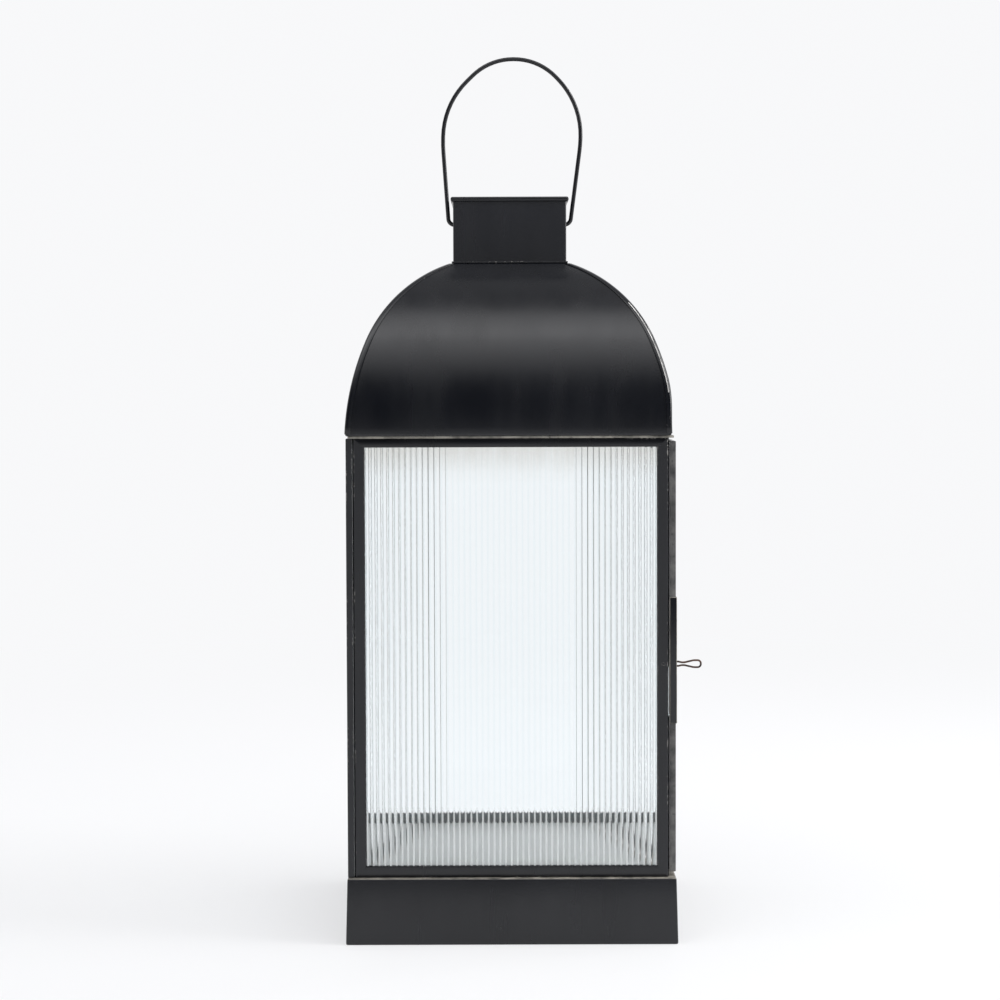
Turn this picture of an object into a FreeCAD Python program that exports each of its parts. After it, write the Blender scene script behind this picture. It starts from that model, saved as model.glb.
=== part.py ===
"""Candle lantern with a square plinth, four glazed sides, a domed roof, a chimney and a wire handle.

Row frame: +Z up, -Y is the front, +X is the door side, origin at the middle of the plinth's underside.
Lengths are millimetres, angles are degrees.
"""
import FreeCAD, Part
import math
import os
import re
import Sketcher

Vector = FreeCAD.Vector
Rotation = FreeCAD.Rotation
Placement = FreeCAD.Placement

doc = FreeCAD.newDocument("candle_lantern")
sheet = doc.addObject("Spreadsheet::Sheet", "dims")

drivingDimensions = {
    # plinth
    "plinthFootHalf": 100.0,
    "plinthTopHalf": 99.0,
    "plinthTall": 40.0,
    "plinthFold": 1.2,
    "sheetThick": 0.8,
    "hemWide": 7.0,
    "floorHalf": 90.0,
    # glazed frames
    "frameTopLevel": 304.6,
    "frontHalfWide": 94.2,
    "frontPlane": 95.0,
    "sidePlane": 98.8,
    "channelDeep": 4.0,
    "channelSheet": 0.7,
    "stileWide": 6.4,
    "topRailWide": 5.4,
    "bottomRailWide": 7.0,
    "glassInset": 4.2,
    "glassThick": 2.5,
    "mitreOver": 0.2,
    "postLeg": 5.5,
    # door
    "doorBottom": 43.2,
    "doorTop": 302.7,
    "doorHalfLong": 94.6,
    "latchLow": 133.0,
    "latchTall": 76.0,
    "latchSheet": 0.6,
    "latchReach": 9.0,
    "latchInset": 0.2,
    "catchTall": 6.0,
    "catchSheet": 0.5,
    "catchFoot": 2.0,
    "catchPastPost": 0.5,
    "catchStep": 1.0,
    "catchSlope": 2.0,
    "catchTip": 1.5,
    "rivetRadius": 1.5,
    "rivetSpan": 45.0,
    "rivetInset": 2.88,
    # latch pull
    "pullLevel": 168.8,
    "pullWire": 0.5,
    "pullBehindFront": 1.0,
    "pullFootHalf": 1.3,
    "pullStub": 0.9,
    "pinchHalf": 0.85,
    "pinchStart": 2.9,
    "pinchEnd": 4.6,
    "pullWidens": 10.0,
    "pullLong": 14.5,
    "pullHalfTall": 2.1,
    "pullFootBend": 0.8,
    "pinchFirstBend": 1.4,
    "pinchLastBend": 2.5,
    "pullSideBend": 5.0,
    "pullTipBend": 1.93,
    # hinges
    "hingeAxisX": 97.6,
    "hingeAxisY": 97.1,
    "hingeLowLevel": 85.0,
    "hingeHighLevel": 262.0,
    "knuckleRadius": 2.0,
    "pinRadius": 1.0,
    "pinClearance": 0.05,
    "knuckleTall": 8.0,
    "knuckleGap": 0.2,
    "leafLong": 6.4,
    "tongueReach": 0.6,
    "pinProud": 0.5,
    # roof
    "ringHalfX": 97.5,
    "ringHalfY": 95.8,
    "ringInnerHalf": 80.0,
    "ringThick": 1.4,
    "eaveHalf": 98.7,
    "eaveFold": 1.2,
    "eaveFlange": 8.0,
    "lowerArcRadius": 165.0,
    "upperArcRadius": 86.0,
    "lowerArcStart": 2.5,
    "lowerArcTurn": 20.0,
    "seamWide": 4.0,
    "seamThick": 0.6,
    "seamGap": 0.1,
    "ridgeGap": 0.001,
    "cutMargin": 4.0,
    # chimney
    "neckHalf": 35.0,
    "neckBottom": 404.0,
    "neckTop": 452.3,
    "neckHoleLevel": 437.0,
    "collarWide": 2.2,
    "collarThick": 1.0,
    "rimThick": 1.5,
    "rimTall": 3.0,
    "rimFold": 1.2,
    # handle
    "wireRadius": 1.3,
    "wireClearance": 0.08,
    "hookInset": 4.0,
    "hookDrop": 6.0,
    "legFoot": 38.3,
    "legTop": 43.3,
    "legTopLevel": 487.0,
    "shoulderDrop": 27.8,
    "crownHalf": 15.5,
    "crownLevel": 540.8,
    "handleLean": 0.03,
    "hookBend": 1.6,
    "footBend": 4.0,
    "legBend": 90.0,
    "shoulderBend": 50.0,
    "crownBend": 36.5,
}

for rowNumber, (alias, size) in enumerate(drivingDimensions.items(), start=1):
    sheet.set(f"A{rowNumber}", alias)
    sheet.set(f"B{rowNumber}", str(size))
    sheet.setAlias(f"B{rowNumber}", alias)
doc.recompute()

parts = {}


def size(text):
    """Number that an expression over the sheet's aliases gives."""
    return float(sheet.evalExpression(bound(text)))


def bound(text):
    """The same expression with each alias pointing at the sheet."""
    return re.sub(r"[A-Za-z]\w*", lambda word: sheetName(word.group()), text)


def sheetName(word):
    return "dims." + word if word in drivingDimensions else word


def finishPart(item, place=None):
    if place is not None:
        item.Placement = place
    parts[item.Label] = item
    return item


# ---------------------------------------------------------------- sketches and pads

def originPlane(body, role):
    return [feature for feature in body.Origin.OriginFeatures if feature.Role == role][0]


def pinCorner(sketch, edge, name, corner):
    """Hold the start of an edge at a corner whose two distances follow the sheet."""
    for kind, axis, text in (("DistanceX", "x", corner[0]), ("DistanceY", "y", corner[1])):
        number = sketch.addConstraint(Sketcher.Constraint(kind, -1, 1, edge, 1, size(text)))
        sketch.renameConstraint(number, axis + name)
        sketch.setExpression(".Constraints." + axis + name, bound(text))


def addLoop(sketch, corners, name=""):
    """Closed loop of straight edges through corners written as expressions."""
    first = sketch.GeometryCount
    places = [Vector(size(x), size(y), 0) for x, y in corners]
    count = len(corners)
    for index in range(count):
        line = Part.LineSegment(places[index], places[(index + 1) % count])
        sketch.addGeometry(line, False)
    for index in range(count):
        following = first + (index + 1) % count
        sketch.addConstraint(Sketcher.Constraint("Coincident", first + index, 2, following, 1))
    for index, corner in enumerate(corners):
        pinCorner(sketch, first + index, f"{name}{index}", corner)


def newSketch(body, name, role):
    sketch = body.newObject("Sketcher::SketchObject", name)
    sketch.AttachmentSupport = [(originPlane(body, role), "")]
    sketch.MapMode = "FlatFace"
    return sketch


def loopSketch(body, name, role, loops):
    sketch = newSketch(body, name, role)
    for number, corners in enumerate(loops):
        addLoop(sketch, corners, f"Loop{number}Corner")
    return sketch


def padSketch(body, sketch, lengthText, symmetric=False):
    pad = body.newObject("PartDesign::Pad", sketch.Name + "Pad")
    pad.Profile = sketch
    pad.setExpression("Length", bound(lengthText))
    if symmetric:
        pad.SideType = "Symmetric"
    sketch.Visibility = False
    doc.recompute()
    return pad


def cutThrough(body, sketch):
    """Cut a sketch right through the body, both ways."""
    before = body.Shape.Volume
    pocket = body.newObject("PartDesign::Pocket", sketch.Name + "Cut")
    pocket.Profile = sketch
    pocket.Type = "ThroughAll"
    pocket.SideType = "Symmetric"
    doc.recompute()
    if body.Shape.Volume > before - 0.01:
        raise RuntimeError(f"{sketch.Name} cut nothing from {body.Label}")
    return pocket


def squareLoop(halfX, halfY=None):
    halfY = halfY or halfX
    return [(f"-({halfX})", f"-({halfY})"), (halfX, f"-({halfY})"), (halfX, halfY), (f"-({halfX})", halfY)]


def edgesWhere(shape, test):
    return [f"Edge{number}" for number, edge in enumerate(shape.Edges, start=1) if test(edge)]


# ---------------------------------------------------------------- plinth

def taperedSquare(body, kind, name, halfText, startText, tallText):
    """Square block or hollow that narrows upwards at the plinth's slope."""
    sketch = loopSketch(body, name, "XY_Plane", [squareLoop(halfText)])
    sketch.setExpression(".AttachmentOffset.Base.z", bound(startText))
    feature = body.newObject(kind, name + "Solid")
    feature.Profile = sketch
    feature.setExpression("Length", bound(tallText))
    feature.setExpression("TaperAngle", bound("-atan((plinthFootHalf - plinthTopHalf) / plinthTall)"))
    doc.recompute()
    return feature


def makeBaseShell():
    body = doc.addObject("PartDesign::Body", "base_shell")
    outside = taperedSquare(body, "PartDesign::Pad", "plinthOutside", "plinthFootHalf",
                            "0 * plinthTall", "plinthTall")
    topReach = size("plinthTopHalf")

    def isFoldedEdge(edge):
        centre = edge.CenterOfMass
        return centre.z > 1 and max(abs(centre.x), abs(centre.y)) > topReach - 0.1

    fold = body.newObject("PartDesign::Fillet", "plinthEdgeFold")
    fold.Base = (outside, edgesWhere(outside.Shape, isFoldedEdge))
    fold.setExpression("Radius", bound("plinthFold"))
    doc.recompute()
    hollow = taperedSquare(body, "PartDesign::Pocket", "plinthInside", "plinthFootHalf - sheetThick",
                           "sheetThick", "plinthTall - 2 * sheetThick")
    hollow.Reversed = True
    mouth = body.newObject("PartDesign::Pocket", "hemMouth")
    mouth.Profile = loopSketch(body, "hemOpening", "XY_Plane", [squareLoop("plinthFootHalf - hemWide")])
    mouth.setExpression("Length", bound("2 * sheetThick"))
    mouth.Reversed = True
    doc.recompute()
    finishPart(body)


def makeSquarePlate(label, halfX, halfY, thick, level, innerHalf=None):
    body = doc.addObject("PartDesign::Body", label)
    loops = [squareLoop(halfX, halfY)]
    if innerHalf:
        loops.append(squareLoop(innerHalf))
    padSketch(body, loopSketch(body, label + "Outline", "XY_Plane", loops), thick)
    return finishPart(body, Placement(Vector(0, 0, size(level)), Rotation()))


# ---------------------------------------------------------------- glazed frames

def makeChannelBar(name, lengthText, wideText, firstInset, lastInset):
    """Folded channel along X, back at Y = 0, mouth towards +Y, both ends cut as mitres."""
    body = doc.addObject("PartDesign::Body", name)
    section = loopSketch(body, name + "Section", "YZ_Plane", [[
        ("0 * channelDeep", "0 * channelDeep"),
        (wideText, "0 * channelDeep"),
        (wideText, "channelSheet"),
        ("channelSheet", "channelSheet"),
        ("channelSheet", "channelDeep - channelSheet"),
        (wideText, "channelDeep - channelSheet"),
        (wideText, "channelDeep"),
        ("0 * channelDeep", "channelDeep"),
    ]])
    padSketch(body, section, lengthText, symmetric=True)
    half = f"({lengthText}) / 2"
    mitres = []
    for sign, inset in (("-", firstInset), ("", lastInset)):
        mitres.append([
            (f"{sign}({half} + mitreOver * {inset})", f"-mitreOver * {wideText}"),
            (f"{sign}({half} - (1 + mitreOver) * {inset})", f"(1 + mitreOver) * {wideText}"),
            (f"{sign}({half} + {inset})", f"(1 + mitreOver) * {wideText}"),
            (f"{sign}({half} + {inset})", f"-mitreOver * {wideText}"),
        ])
    cutThrough(body, loopSketch(body, name + "Mitres", "XY_Plane", mitres))
    return body


def facing(angle):
    """Turns a part drawn for the front (-Y) side to another side of the lantern."""
    return Placement(Vector(), Rotation(Vector(0, 0, 1), angle))


def barPlace(angle, corner, along, inward):
    """Place of a bar on the front side: along is its length, inward points into the opening."""
    outward = along.cross(inward)
    turn = Rotation(along, inward, outward, "XYZ")
    return facing(angle).multiply(Placement(corner, turn))


def makeGlazedFrame(label, angle, halfWide, planeText, bottomText, topText, shift="0 * stileWide"):
    """Four mitred channel bars, standing on one side of the square."""
    left = Vector(-1, 0, 0)
    up = Vector(0, 0, 1)
    middleX = size(shift)
    inner = -(size(planeText) - size("channelDeep"))
    bottom = size(bottomText)
    top = size(topText)
    middle = (bottom + top) / 2
    half = size(halfWide)
    rails = f"2 * ({halfWide})"
    stiles = f"({topText}) - ({bottomText})"
    bars = [
        (makeChannelBar(label + "_bottom_rail", rails, "bottomRailWide", "stileWide", "stileWide"),
         Vector(middleX, inner, bottom), left * -1, up),
        (makeChannelBar(label + "_top_rail", rails, "topRailWide", "stileWide", "stileWide"),
         Vector(middleX, inner, top), left, up * -1),
        (makeChannelBar(label + "_left_stile", stiles, "stileWide", "topRailWide", "bottomRailWide"),
         Vector(middleX - half, inner, middle), up * -1, left * -1),
        (makeChannelBar(label + "_right_stile", stiles, "stileWide", "bottomRailWide", "topRailWide"),
         Vector(middleX + half, inner, middle), up, left),
    ]
    for bar, corner, along, inward in bars:
        bar.Placement = barPlace(angle, corner, along, inward)
    frame = doc.addObject("Part::Compound", label)
    frame.Links = [bar[0] for bar in bars]
    finishPart(frame)


def makePane(label, angle, halfWide, planeText, bottomText, topText, shift="0 * stileWide"):
    """Glass held in the channels of one frame, drawn with a flat back and a flat front."""
    body = doc.addObject("PartDesign::Body", label)
    paneHalf = f"{halfWide} - stileWide + glassInset"
    paneTall = f"({topText}) - ({bottomText}) - topRailWide - bottomRailWide + 2 * glassInset"
    outline = loopSketch(body, label + "Outline", "XZ_Plane", [[
        (f"-({paneHalf})", "0 * glassThick"),
        (paneHalf, "0 * glassThick"),
        (paneHalf, paneTall),
        (f"-({paneHalf})", paneTall),
    ]])
    padSketch(body, outline, "glassThick", symmetric=True)
    level = size(f"{bottomText} + bottomRailWide - glassInset")
    middleY = -size(f"{planeText} - channelDeep / 2")
    finishPart(body, facing(angle).multiply(Placement(Vector(size(shift), middleY, level), Rotation())))


def makeCornerPost(label, quarter, cornerX, cornerY):
    """Folded angle behind one corner of the glazed box."""
    body = doc.addObject("PartDesign::Body", label)
    section = loopSketch(body, label + "Section", "XY_Plane", [[
        ("0 * postLeg", "0 * postLeg"),
        ("postLeg", "0 * postLeg"),
        ("postLeg", "sheetThick"),
        ("sheetThick", "sheetThick"),
        ("sheetThick", "postLeg"),
        ("0 * postLeg", "postLeg"),
    ]])
    padSketch(body, section, "frameTopLevel - plinthTall")
    turn = Rotation(Vector(0, 0, 1), 90 * quarter)
    finishPart(body, Placement(Vector(cornerX, cornerY, size("plinthTall")), turn))


# ---------------------------------------------------------------- latch and hinges

def makeLatchPlate():
    """Strip folded round the front edge of the door."""
    body = doc.addObject("PartDesign::Body", "latch_plate")
    outer = "sidePlane + latchSheet"
    section = loopSketch(body, "latchSection", "XY_Plane", [[
        ("sidePlane - channelDeep + latchInset", "-doorHalfLong - latchSheet"),
        (outer, "-doorHalfLong - latchSheet"),
        (outer, "-doorHalfLong - latchSheet + latchReach"),
        ("sidePlane", "-doorHalfLong - latchSheet + latchReach"),
        ("sidePlane", "-doorHalfLong"),
        ("sidePlane - channelDeep + latchInset", "-doorHalfLong"),
    ]])
    padSketch(body, section, "latchTall")
    finishPart(body, Placement(Vector(0, 0, size("latchLow")), Rotation()))


def makeCatchSpring():
    """Springy strip on the front right post that bears on the closed door."""
    body = doc.addObject("PartDesign::Body", "catch_spring")
    back = "frontHalfWide - sheetThick"
    foot = "channelDeep - frontPlane + catchFoot"
    bend = "channelDeep - frontPlane + postLeg + catchPastPost"
    section = loopSketch(body, "catchSection", "XY_Plane", [[
        (f"{back} - catchSheet", foot),
        (back, foot),
        (back, bend),
        (f"{back} + catchStep", f"{bend} + catchSlope"),
        (f"{back} + catchStep", f"{bend} + catchSlope + catchTip"),
        (f"{back} + catchStep - catchSheet", f"{bend} + catchSlope + catchTip"),
        (f"{back} + catchStep - catchSheet", f"{bend} + catchSlope + catchSheet / 2"),
        (f"{back} - catchSheet", f"{bend} + catchSheet / 2"),
    ]])
    padSketch(body, section, "catchTall")
    level = size("pullLevel - catchTall / 2")
    finishPart(body, Placement(Vector(0, 0, level), Rotation()))


def makeCatchRivet():
    """Low domed head on the face of the front frame, level with the pull."""
    dome = doc.addObject("Part::Sphere", "catch_rivet")
    dome.setExpression("Radius", bound("rivetRadius"))
    dome.setExpression("Angle1", bound("rivetSpan"))
    drop = size("rivetRadius * sin(rivetSpan * 1 deg)")
    centre = Vector(size("frontHalfWide - rivetInset"), drop - size("frontPlane"), size("pullLevel"))
    finishPart(dome, Placement(centre, Rotation(Vector(1, 0, 0), 90)))


def makeHinge(name, levelText):
    """Two leaves and a pin: outer knuckles on the frame, the middle knuckle on the door."""
    level = size(levelText)
    axisX = size("hingeAxisX")
    axisY = size("hingeAxisY")
    tallText = "3 * knuckleTall + 2 * knuckleGap"
    step = size("knuckleTall + knuckleGap")

    def box(label, low, lengthText, widthText, heightText):
        block = doc.addObject("Part::Box", label)
        block.setExpression("Length", bound(lengthText))
        block.setExpression("Width", bound(widthText))
        block.setExpression("Height", bound(heightText))
        block.Placement = Placement(low, Rotation())
        return block

    def rod(label, low, radiusText, heightText):
        cylinder = doc.addObject("Part::Cylinder", label)
        cylinder.setExpression("Radius", bound(radiusText))
        cylinder.setExpression("Height", bound(heightText))
        cylinder.Placement = Placement(low, Rotation())
        return cylinder

    def leaf(label, blocks):
        whole = doc.addObject("Part::MultiFuse", label + "_blank")
        whole.Shapes = blocks
        hole = rod(label + "_hole", Vector(axisX, axisY, level - size("cutMargin")),
                   "pinRadius + pinClearance", f"{tallText} + 2 * cutMargin")
        cut = doc.addObject("Part::Cut", label)
        cut.Base = whole
        cut.Tool = hole
        finishPart(cut)

    frameLeaf = name + "_frame_leaf"
    frontPlane = size("frontPlane")
    tongueStart = size("hingeAxisX - knuckleRadius - tongueReach")
    leafEdge = tongueStart - size("leafLong")
    pieces = [box(frameLeaf + "_plate", Vector(leafEdge, frontPlane, level), "leafLong", "sheetThick",
                  tallText)]
    for end, low in (("lower", level), ("upper", level + 2 * step)):
        pieces.append(box(f"{frameLeaf}_{end}_tongue", Vector(tongueStart, frontPlane, low),
                          "knuckleRadius + tongueReach", "sheetThick", "knuckleTall"))
        pieces.append(rod(f"{frameLeaf}_{end}_knuckle", Vector(axisX, axisY, low), "knuckleRadius",
                          "knuckleTall"))
    leaf(frameLeaf, pieces)

    doorLeaf = name + "_door_leaf"
    sidePlane = size("sidePlane")
    doorEnd = size("doorHalfLong")
    pieces = [
        box(doorLeaf + "_plate", Vector(sidePlane, doorEnd - size("leafLong"), level), "sheetThick",
            "leafLong", tallText),
        box(doorLeaf + "_tongue", Vector(sidePlane, doorEnd, level + step), "sheetThick",
            "hingeAxisY - doorHalfLong", "knuckleTall"),
        rod(doorLeaf + "_knuckle", Vector(axisX, axisY, level + step), "knuckleRadius", "knuckleTall"),
    ]
    leaf(doorLeaf, pieces)
    finishPart(rod(name + "_pin", Vector(axisX, axisY, level - size("pinProud")), "pinRadius",
                   f"{tallText} + 2 * pinProud"))


# ---------------------------------------------------------------- roof

def arcPoint(centre, radiusText, angleText):
    return (f"{centre[0]} + ({radiusText}) * cos({angleText} * 1 deg)",
            f"{centre[1]} + ({radiusText}) * sin({angleText} * 1 deg)")


def roofArcs(offsetText):
    """End points of the two tangent arcs of the roof's section, offset outwards, and their radii."""
    eaveLevel = "(frameTopLevel + ringThick + eaveFold)"
    lowCentre = ("eaveHalf - lowerArcRadius * cos(lowerArcStart * 1 deg)",
                 f"{eaveLevel} - lowerArcRadius * sin(lowerArcStart * 1 deg)")
    turnAngle = "(lowerArcStart + lowerArcTurn)"
    reach = "(lowerArcRadius - upperArcRadius)"
    highCentre = (f"{lowCentre[0]} + {reach} * cos({turnAngle} * 1 deg)",
                  f"{lowCentre[1]} + {reach} * sin({turnAngle} * 1 deg)")
    lowRadius = f"(lowerArcRadius + ({offsetText}))"
    highRadius = f"(upperArcRadius + ({offsetText}))"
    start = arcPoint(lowCentre, lowRadius, "lowerArcStart")
    join = arcPoint(highCentre, highRadius, turnAngle)
    rise = f"sqrt({highRadius} ^ 2 - (neckHalf - ({highCentre[0]})) ^ 2)"
    end = ("neckHalf", f"{highCentre[1]} + {rise}")
    return start, join, end, lowCentre, highCentre, lowRadius, highRadius


def arcBetween(centre, radiusText, start, end):
    """Arc about a centre, turned the short way from start to end."""
    middle = Vector(size(centre[0]), size(centre[1]), 0)
    first = Vector(size(start[0]), size(start[1]), 0)
    last = Vector(size(end[0]), size(end[1]), 0)
    halfway = ((first - middle) + (last - middle)).normalize() * size(radiusText) + middle
    return Part.Arc(first, halfway, last)


def addPath(sketch, edges):
    """Closed path of lines and arcs: each edge is (start, end, centre or None, radius or None)."""
    numbers = []
    for start, end, centre, radiusText in edges:
        if centre is None:
            line = Part.LineSegment(Vector(size(start[0]), size(start[1]), 0),
                                    Vector(size(end[0]), size(end[1]), 0))
            numbers.append(sketch.addGeometry(line, False))
        else:
            numbers.append(sketch.addGeometry(arcBetween(centre, radiusText, start, end), False))
    ends = []
    for number, (start, end, centre, radiusText) in zip(numbers, edges):
        startPoint = Vector(size(start[0]), size(start[1]), 0)
        forward = sketch.getPoint(number, 1).distanceToPoint(startPoint) < 0.001
        ends.append((1, 2) if forward else (2, 1))
    for index, number in enumerate(numbers):
        following = (index + 1) % len(numbers)
        sketch.addConstraint(Sketcher.Constraint(
            "Coincident", number, ends[index][1], numbers[following], ends[following][0]))
    for index, (start, end, centre, radiusText) in enumerate(edges):
        for kind, axis, text in (("DistanceX", "x", start[0]), ("DistanceY", "y", start[1])):
            constraint = Sketcher.Constraint(kind, -1, 1, numbers[index], ends[index][0], size(text))
            number = sketch.addConstraint(constraint)
            sketch.renameConstraint(number, f"{axis}Path{index}")
            sketch.setExpression(f".Constraints.{axis}Path{index}", bound(text))
        if centre is not None:
            number = sketch.addConstraint(Sketcher.Constraint("Radius", numbers[index], size(radiusText)))
            sketch.renameConstraint(number, f"radiusPath{index}")
            sketch.setExpression(f".Constraints.radiusPath{index}", bound(radiusText))


def makeRoofPanel(label, angle):
    """One curved quarter of the roof with a folded eave and an inward flange, drawn for +Y."""
    body = doc.addObject("PartDesign::Body", label)
    sketch = newSketch(body, label + "Section", "YZ_Plane")
    start, join, end, lowCentre, highCentre, lowRadius, highRadius = roofArcs("0 * sheetThick")
    inStart, inJoin, inEnd, _, _, inLowRadius, inHighRadius = roofArcs("-sheetThick")
    floor = "frameTopLevel + ringThick"
    foldCentre = ("eaveHalf - eaveFold", f"{floor} + eaveFold")
    foldStart = ("eaveHalf - eaveFold", floor)
    flangeIn = ("eaveHalf - eaveFold - eaveFlange", floor)
    flangeTop = ("eaveHalf - eaveFold - eaveFlange", f"{floor} + sheetThick")
    innerCorner = (inStart[0], f"{floor} + sheetThick")
    addPath(sketch, [
        (foldStart, start, foldCentre, "eaveFold"),
        (start, join, lowCentre, lowRadius),
        (join, end, highCentre, highRadius),
        (end, inEnd, None, None),
        (inEnd, inJoin, highCentre, inHighRadius),
        (inJoin, inStart, lowCentre, inLowRadius),
        (inStart, innerCorner, None, None),
        (innerCorner, flangeTop, None, None),
        (flangeTop, flangeIn, None, None),
        (flangeIn, foldStart, None, None),
    ])
    padSketch(body, sketch, "2 * (eaveHalf + cutMargin)", symmetric=True)
    far = "(eaveHalf + 2 * cutMargin)"
    sides = [[(f"{sign}ridgeGap", "ridgeGap"), (f"{sign}{far}", far), (f"{sign}{far}", "-cutMargin"),
              (f"{sign}ridgeGap", "-cutMargin")] for sign in ("-", "")]
    cutThrough(body, loopSketch(body, label + "Sides", "XY_Plane", sides))
    finishPart(body, facing(angle))


def makeRoofSeam(label, angle):
    """Folded strip lying over one ridge of the roof, drawn for the ridge between +X and +Y."""
    body = doc.addObject("PartDesign::Body", label + "_half")
    sketch = newSketch(body, label + "Section", "YZ_Plane")
    start, join, end, lowCentre, highCentre, lowRadius, highRadius = roofArcs("0 * seamThick")
    outStart, outJoin, outEnd, _, _, outLowRadius, outHighRadius = roofArcs("seamThick")
    reach = "(neckHalf + collarWide + seamGap)"
    rise = f"sqrt({highRadius} ^ 2 - ({reach} - ({highCentre[0]})) ^ 2)"
    endAcross = (reach, f"{highCentre[1]} + {rise}")
    rise = f"sqrt({outHighRadius} ^ 2 - ({reach} - ({highCentre[0]})) ^ 2)"
    outAcross = (reach, f"{highCentre[1]} + {rise}")
    addPath(sketch, [
        (outStart, outJoin, lowCentre, outLowRadius),
        (outJoin, outAcross, highCentre, outHighRadius),
        (outAcross, endAcross, None, None),
        (endAcross, join, highCentre, highRadius),
        (join, start, lowCentre, lowRadius),
        (start, outStart, None, None),
    ])
    padSketch(body, sketch, "2 * (eaveHalf + cutMargin)", symmetric=True)
    far = "(eaveHalf + 2 * cutMargin)"
    pastRidge = [("-cutMargin", "-cutMargin"), (far, far), (far, "-cutMargin")]
    inPanel = [("-seamWide - cutMargin", "-cutMargin"), (f"{far} - seamWide", far), (f"-{far}", far),
               (f"-{far}", "-cutMargin")]
    cutThrough(body, loopSketch(body, label + "PastRidge", "XY_Plane", [pastRidge]))
    cutThrough(body, loopSketch(body, label + "InPanel", "XY_Plane", [inPanel]))
    mirror = doc.addObject("Part::Mirroring", label + "_other_half")
    mirror.Source = body
    mirror.Normal = Vector(1, -1, 0)
    seam = doc.addObject("Part::Fuse", label)
    seam.Base = body
    seam.Tool = mirror
    finishPart(seam, facing(angle))


# ---------------------------------------------------------------- chimney and handle

def makeChimney():
    body = doc.addObject("PartDesign::Body", "chimney")
    tube = loopSketch(body, "tubeOutline", "XY_Plane",
                      [squareLoop("neckHalf"), squareLoop("neckHalf - sheetThick")])
    tube.setExpression(".AttachmentOffset.Base.z", bound("neckBottom"))
    padSketch(body, tube, "neckTop - neckBottom")
    holes = newSketch(body, "handleHoles", "YZ_Plane")
    circle = Part.Circle(Vector(0, size("neckHoleLevel"), 0), Vector(0, 0, 1), size("wireRadius"))
    holes.addGeometry(circle, False)
    holes.addConstraint(Sketcher.Constraint("PointOnObject", 0, 3, -2))
    level = holes.addConstraint(Sketcher.Constraint("DistanceY", -1, 1, 0, 3, size("neckHoleLevel")))
    holes.renameConstraint(level, "holeLevel")
    holes.setExpression(".Constraints.holeLevel", bound("neckHoleLevel"))
    radius = holes.addConstraint(Sketcher.Constraint("Radius", 0, size("wireRadius + wireClearance")))
    holes.renameConstraint(radius, "holeRadius")
    holes.setExpression(".Constraints.holeRadius", bound("wireRadius + wireClearance"))
    cutThrough(body, holes)
    finishPart(body)


def makeChimneyRim():
    body = doc.addObject("PartDesign::Body", "chimney_rim")
    ring = loopSketch(body, "rimOutline", "XY_Plane",
                      [squareLoop("neckHalf + rimThick"), squareLoop("neckHalf")])
    pad = padSketch(body, ring, "rimTall")
    reach = size("neckHalf + rimThick")

    def isOuterEdge(edge):
        centre = edge.CenterOfMass
        return max(abs(centre.x), abs(centre.y)) > reach - 0.01

    fold = body.newObject("PartDesign::Fillet", "rimFold")
    fold.Base = (pad, edgesWhere(pad.Shape, isOuterEdge))
    fold.setExpression("Radius", bound("rimFold"))
    doc.recompute()
    finishPart(body, Placement(Vector(0, 0, size("neckTop - rimTall")), Rotation()))


def bentWire(points, bends):
    """Straight runs joined by tangent arcs; bends holds one radius for each inner point."""
    edges = []
    reached = points[0]
    for before, corner, after, radius in zip(points, points[1:], points[2:], bends):
        back = (before - corner).normalize()
        ahead = (after - corner).normalize()
        halfTurn = (math.pi - back.getAngle(ahead)) / 2
        setback = radius * math.tan(halfTurn)
        bisector = (back + ahead).normalize()
        middle = corner + bisector * (radius / math.cos(halfTurn) - radius)
        arcStart = corner + back * setback
        arcEnd = corner + ahead * setback
        edges.append(Part.makeLine(reached, arcStart))
        edges.append(Part.Arc(arcStart, middle, arcEnd).toShape())
        reached = arcEnd
    edges.append(Part.makeLine(reached, points[-1]))
    return Part.Wire(edges)


def makeRound(label, points, bends, radiusText):
    """Round wire swept along a bent path."""
    path = doc.addObject("Part::Feature", label + "_path")
    path.Shape = bentWire(points, bends)
    ring = doc.addObject("Part::Circle", label + "_section")
    ring.setExpression("Radius", bound(radiusText))
    ring.Placement = Placement(points[0], Rotation(Vector(0, 0, 1), points[1] - points[0]))
    sweep = doc.addObject("Part::Sweep", label)
    sweep.Sections = [ring]
    sweep.Spine = (path, [f"Edge{number + 1}" for number in range(len(path.Shape.Edges))])
    sweep.Solid = True
    sweep.Frenet = True
    doc.recompute()
    expected = math.pi * size(radiusText) ** 2 * path.Shape.Length
    print(f"{label}: {sweep.Shape.Volume:.1f} mm3 swept, {expected:.1f} mm3 by length")
    return finishPart(sweep)


def makeHandle():
    """Upright wire bail, leaning a little to the door side, with both ends bent down in the chimney."""
    pivot = size("neckHoleLevel")
    hook = size("neckHalf - hookInset")
    lean = size("handleLean")
    crown = size("crownLevel")
    half = [
        (hook, pivot - size("hookDrop")),
        (hook, pivot),
        (size("legFoot"), pivot),
        (size("legTop"), size("legTopLevel")),
        (size("legTop"), crown - size("shoulderDrop")),
        (size("crownHalf"), crown),
    ]
    outline = [(-x, z) for x, z in half] + [(x, z) for x, z in reversed(half)]
    points = []
    for x, z in outline:
        points.append(Vector(x + lean * max(z - pivot, 0), 0, z))
    halfBends = [size(bend) for bend in ("hookBend", "footBend", "legBend", "shoulderBend", "crownBend")]
    makeRound("handle", points, halfBends + halfBends[::-1], "wireRadius")


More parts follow.
